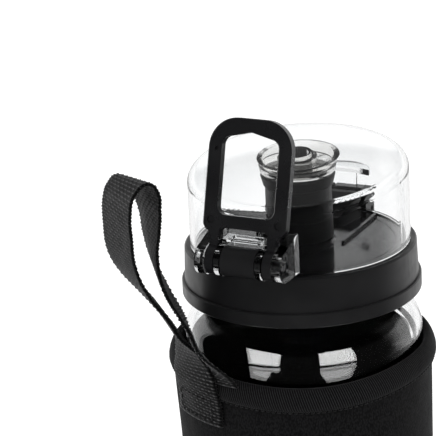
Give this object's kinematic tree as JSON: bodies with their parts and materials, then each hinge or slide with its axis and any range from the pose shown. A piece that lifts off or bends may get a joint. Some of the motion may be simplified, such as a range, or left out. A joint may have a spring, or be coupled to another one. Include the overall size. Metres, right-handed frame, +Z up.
{
  "type": "sports bottle",
  "caption": "Clear sports bottle with a black screw lid, clear flip cover over a spout, hinged carry loop and a padded sleeve with a webbing wrist loop.",
  "frame": {"origin": "centre of the sleeve's underside", "axes": "+Z up along the bottle's axis, -Y towards the lid hinge, +Y towards the latch"},
  "size_m": [0.0811, 0.0954, 0.2728],
  "materials": {
    "clear_bottle": "clear, polished",
    "clear_cover": "clear plastic, polished",
    "silicone": "translucent silicone",
    "satin_black": "satin",
    "gloss_black": "gloss",
    "loop_black": "fine satin",
    "pin_steel": "brushed",
    "sleeve_cloth": "knit over foam rubber",
    "binding_cloth": "ribbed elastic",
    "webbing": "woven webbing",
    "thread": "sewing thread"
  },
  "bodies": {
    "bottle": {"bottle_body": "clear_bottle"},
    "lift_ring": {"neck_gasket": "silicone"},
    "lid": {"lid_collar": "satin_black", "lid_deck": "gloss_black", "hinge_pin": "pin_steel", "latch_pin": "pin_steel"},
    "cover": {"dome_cover": "clear_cover", "spout_plug": "silicone"},
    "handle": {"carry_loop": "loop_black"},
    "latch": {"latch_button": "gloss_black"},
    "sleeve": {"sleeve_base": "sleeve_cloth", "sleeve_wall": "sleeve_cloth", "sleeve_side_seam": "binding_cloth", "sleeve_binding": "binding_cloth", "sleeve_base_binding": "binding_cloth", "binding_stitching": "thread", "strap_patch": "webbing", "strap_stitching": "thread"},
    "strap": {"wrist_strap": "webbing"}
  },
  "joints": [
    {"name": "cap_lift", "type": "slide", "parent": "bottle", "child": "lift_ring", "axis": [0, 0, 1], "range_m": [0, 0.00751]},
    {"name": "cap_turn", "type": "hinge", "parent": "lift_ring", "child": "lid", "pos_m": [0, 0, 0.218], "axis": [0, 0, 1], "range_deg": [0, 450]},
    {"name": "dome_open", "type": "hinge", "parent": "lid", "child": "cover", "pos_m": [0, -0.0381, 0.234], "axis": [1, 0, 0], "range_deg": [0, 90]},
    {"name": "loop_swing", "type": "hinge", "parent": "cover", "child": "handle", "pos_m": [0, -0.0381, 0.234], "axis": [1, 0, 0], "range_deg": [0, 90]},
    {"name": "latch_press", "type": "hinge", "parent": "lid", "child": "latch", "pos_m": [0, 0.0383, 0.2264], "axis": [-1, 0, 0], "range_deg": [0, 7], "stiffness_Nm_per_rad": 0.05},
    {"name": "sleeve_slide", "type": "slide", "parent": "bottle", "child": "sleeve", "axis": [0, 0, -1], "range_m": [0, 0.2]},
    {"name": "strap_flex", "type": "hinge", "parent": "sleeve", "child": "strap", "pos_m": [-0.02271, -0.03244, 0.1964], "axis": [0.8192, -0.5736, 0], "range_deg": [0, 36]}
  ],
  "couplings": [
    {"joint": "cap_lift", "follows": "cap_turn", "m_per_rad": 0.00095493},
    {"joint": "strap_flex", "follows": "dome_open", "ratio": 0.39}
  ]
}
